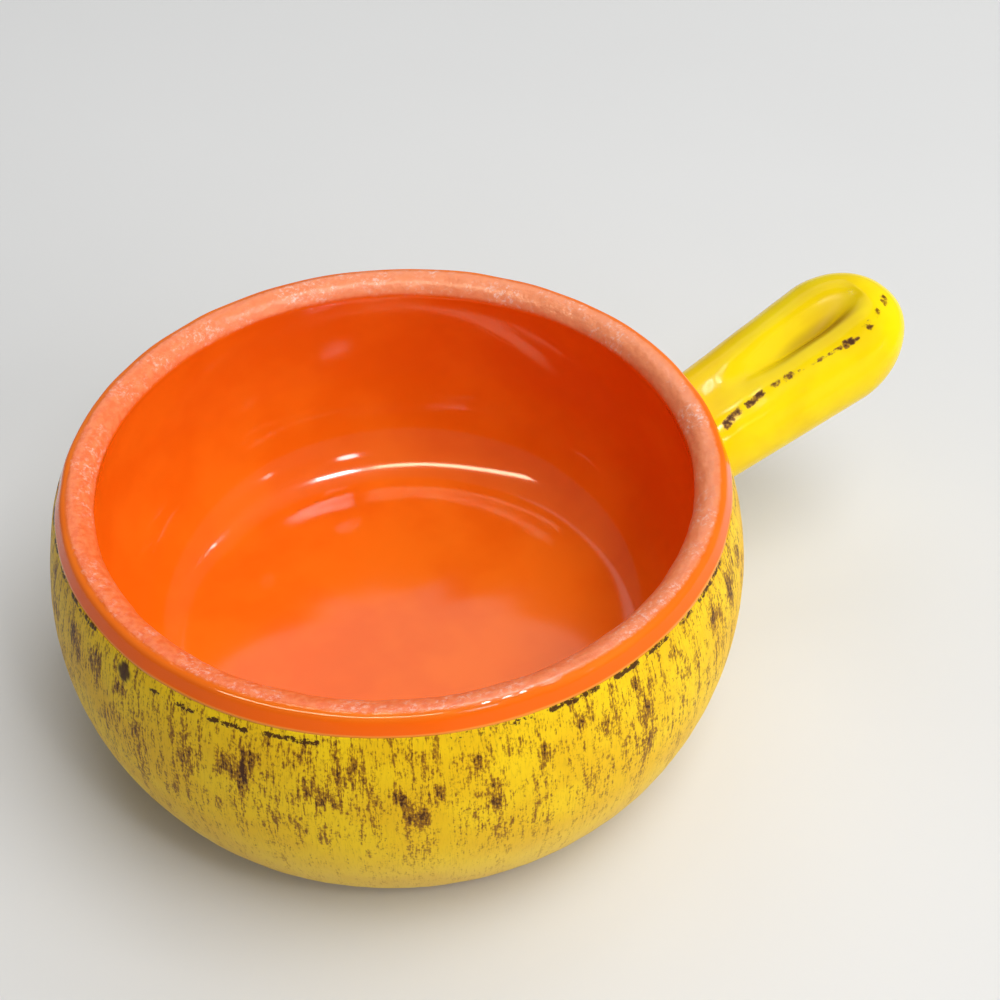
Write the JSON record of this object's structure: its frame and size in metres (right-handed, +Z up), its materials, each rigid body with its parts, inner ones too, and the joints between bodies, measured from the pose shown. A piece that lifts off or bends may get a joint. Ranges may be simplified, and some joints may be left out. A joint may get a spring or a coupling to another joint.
{
  "type": "handled soup bowl",
  "caption": "Round glazed earthenware soup bowl with a thick rolled lip and a stubby stick handle with a thumb groove.",
  "frame": {"origin": "centre of the flat foot, on the bowl's axis", "axes": "+Z up along the bowl's axis, +X out along the handle"},
  "size_m": [0.1944, 0.14, 0.0603],
  "materials": {
    "bare_clay": "matte fired red clay",
    "handle_clay": "matte fired red clay",
    "clay_slip": "matte fired slip",
    "orange_glaze": "gloss",
    "yellow_glaze": "gloss",
    "handle_yellow_glaze": "gloss"
  },
  "bodies": {
    "root": {"bowl_body": "bare_clay", "handle": "handle_clay", "joint_slip": "clay_slip", "interior_glaze": "orange_glaze", "exterior_glaze": "yellow_glaze", "handle_glaze": "handle_yellow_glaze"}
  },
  "joints": []
}
